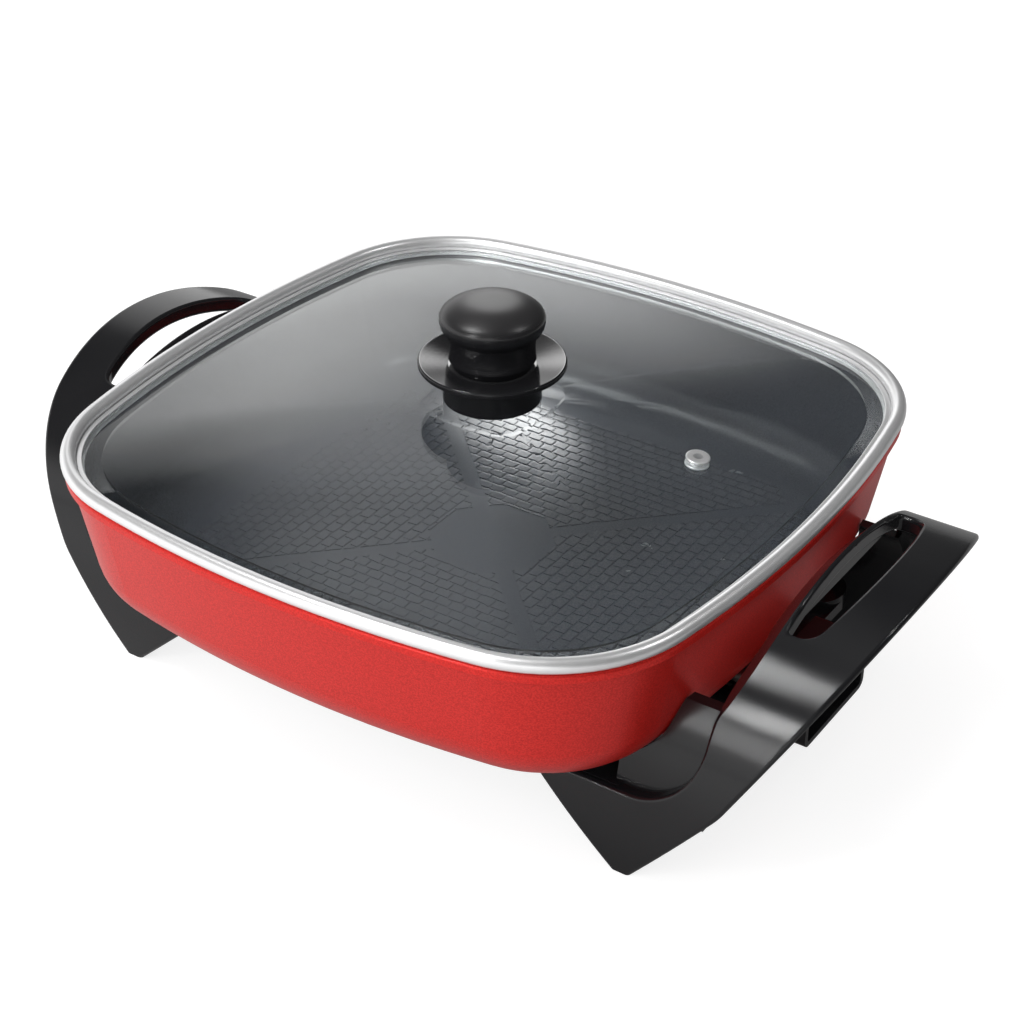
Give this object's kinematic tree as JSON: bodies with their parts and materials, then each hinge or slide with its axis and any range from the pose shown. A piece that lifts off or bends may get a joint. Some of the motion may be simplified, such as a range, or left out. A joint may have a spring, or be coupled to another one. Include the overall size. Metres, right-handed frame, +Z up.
{
  "type": "electric hot pot",
  "caption": "Square electric hot pot: a cast nonstick pan on handle-and-leg mouldings, with a socket for a plug-in thermostat and a domed glass lid that lifts off.",
  "frame": {"origin": "on the floor under the middle of the pan", "axes": "+Z up, +X from the pan's middle towards the moulding with the socket"},
  "size_m": [0.4032, 0.3024, 0.1695],
  "materials": {
    "pan_enamel": "cast aluminium, satin red enamel outside and dark nonstick coating inside",
    "black_moulding": "black moulded plastic with a soft gloss",
    "black_knob": "glossy black moulded plastic",
    "lid_glass": "clear toughened glass",
    "polished_steel": "polished stainless steel",
    "element_sheath": "dull steel tube",
    "plain_steel": "plain steel",
    "white_ceramic": "unglazed white ceramic",
    "cast_aluminium": "as cast",
    "insert_brass": "plain brass",
    "seal_rubber": "soft black rubber"
  },
  "bodies": {
    "pot": {"pan_body": "pan_enamel", "heating_element": "element_sheath", "terminal_pins": "plain_steel", "terminal_insulators": "white_ceramic", "probe_block": "cast_aluminium", "probe_screw": "plain_steel", "socket_shroud": "black_moulding", "socket_screws": "plain_steel", "handle_left": "black_moulding", "handle_right": "black_moulding", "handle_screws": "plain_steel", "handle_washers": "plain_steel"},
    "lid": {"lid_glass": "lid_glass", "lid_rim": "polished_steel", "vent_eyelet": "polished_steel", "knob_grip": "black_knob", "knob_guard": "black_knob", "knob_insert": "insert_brass", "knob_screw": "plain_steel", "knob_washer": "plain_steel", "knob_gaskets": "seal_rubber"}
  },
  "joints": [
    {"name": "lid_lift", "type": "slide", "parent": "pot", "child": "lid", "axis": [0, 0, 1], "range_m": [0, 0.12]}
  ]
}
